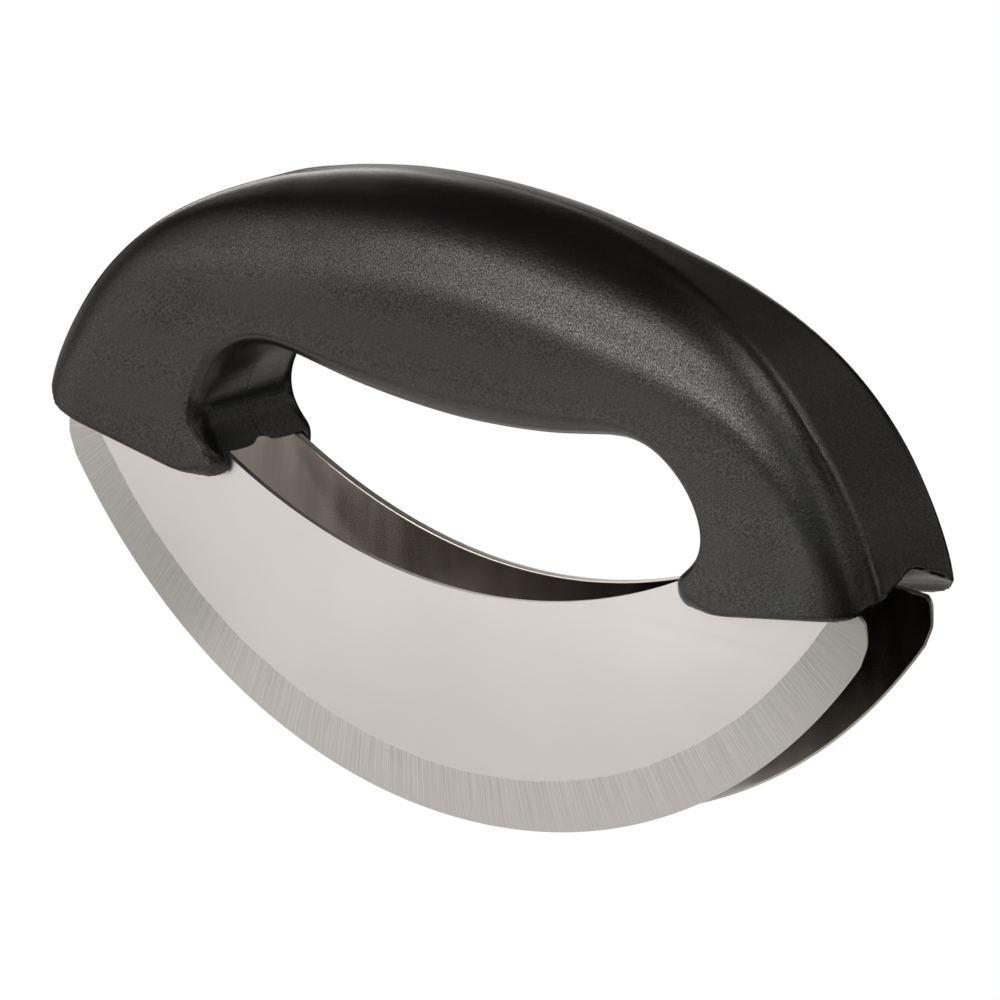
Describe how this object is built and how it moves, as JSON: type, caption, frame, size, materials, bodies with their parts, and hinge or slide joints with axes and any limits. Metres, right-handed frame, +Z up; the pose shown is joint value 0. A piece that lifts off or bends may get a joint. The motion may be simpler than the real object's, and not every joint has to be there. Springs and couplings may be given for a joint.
{
  "type": "double-blade herb chopper",
  "caption": "Rocking herb chopper: arched black plastic handle with a hand hole over parallel crescent steel blades with a ground bevel.",
  "frame": {"origin": "midway between the blades at mid-length, level with the lowest point of the cutting edges", "axes": "+X along the blades, +Y across from the front blade to the rear blade, +Z up from the cutting edges to the grip"},
  "size_m": [0.1768, 0.026, 0.1022],
  "materials": {
    "handle_plastic": "matt black moulded plastic with a fine grain",
    "blade_steel": "satin stainless steel, bevel with grinding lines square to the edge",
    "spacer_plastic": "plain moulded plastic",
    "rivet_steel": "plain steel"
  },
  "bodies": {
    "root": {"handle_front_shell": "handle_plastic", "handle_rear_shell": "handle_plastic", "front_blade": "blade_steel", "rear_blade": "blade_steel", "left_blade_spacer": "spacer_plastic", "right_blade_spacer": "spacer_plastic", "left_inner_rivet": "rivet_steel", "left_outer_rivet": "rivet_steel", "right_inner_rivet": "rivet_steel", "right_outer_rivet": "rivet_steel"}
  },
  "joints": []
}
